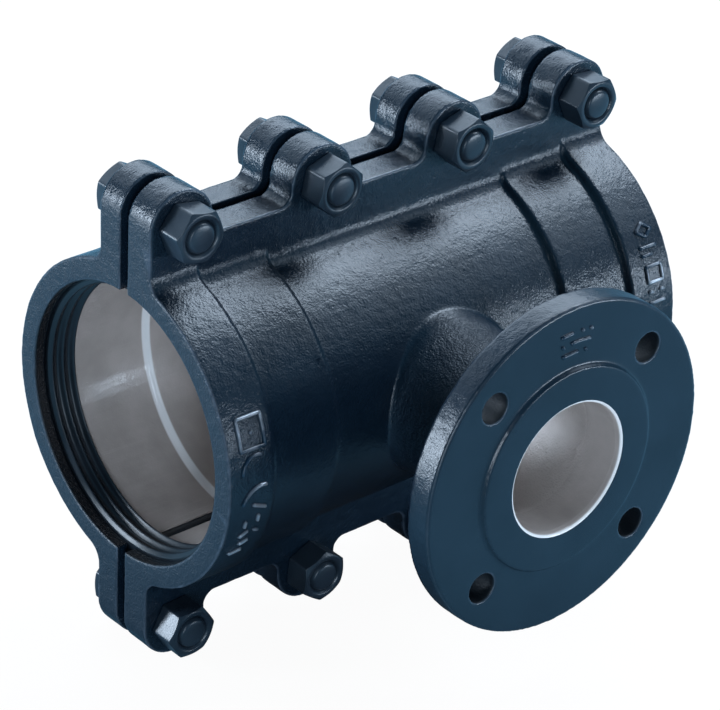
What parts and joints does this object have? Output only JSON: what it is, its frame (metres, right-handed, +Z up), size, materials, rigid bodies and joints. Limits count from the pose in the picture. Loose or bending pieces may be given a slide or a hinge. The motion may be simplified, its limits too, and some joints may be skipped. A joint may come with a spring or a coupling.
{
  "type": "mechanical tee",
  "caption": "Split cast sleeve that bolts round a main pipe through two straight rails, with lipped rubber end seals and a short flanged branch at right angles.",
  "frame": {"origin": "where the main pipe's axis crosses the branch's axis, at the middle of the sleeve", "axes": "+X along the main pipe, -Y along the branch towards its flange face, +Z up through the upper bolting rail; the halves part at y = 0"},
  "size_m": [0.351, 0.292, 0.309],
  "materials": {
    "cast_coat": "ductile iron under a satin blue-black fusion-bonded coat, with a pale grey lining inside the bores",
    "fastener_coat": "steel bolts and nuts under the same dark coat",
    "seal_rubber": "matt black moulded rubber"
  },
  "bodies": {
    "root": {"front_shell": "cast_coat", "back_shell": "cast_coat", "bolt_top_1": "fastener_coat", "bolt_top_2": "fastener_coat", "bolt_top_3": "fastener_coat", "bolt_top_4": "fastener_coat", "bolt_bottom_1": "fastener_coat", "bolt_bottom_2": "fastener_coat", "bolt_bottom_3": "fastener_coat", "bolt_bottom_4": "fastener_coat", "nut_top_1": "fastener_coat", "nut_top_2": "fastener_coat", "nut_top_3": "fastener_coat", "nut_top_4": "fastener_coat", "nut_bottom_1": "fastener_coat", "nut_bottom_2": "fastener_coat", "nut_bottom_3": "fastener_coat", "nut_bottom_4": "fastener_coat", "end_seal_left_front": "seal_rubber", "end_seal_left_back": "seal_rubber", "end_seal_right_front": "seal_rubber", "end_seal_right_back": "seal_rubber", "seam_seal_top": "seal_rubber", "seam_seal_bottom": "seal_rubber"}
  },
  "joints": []
}
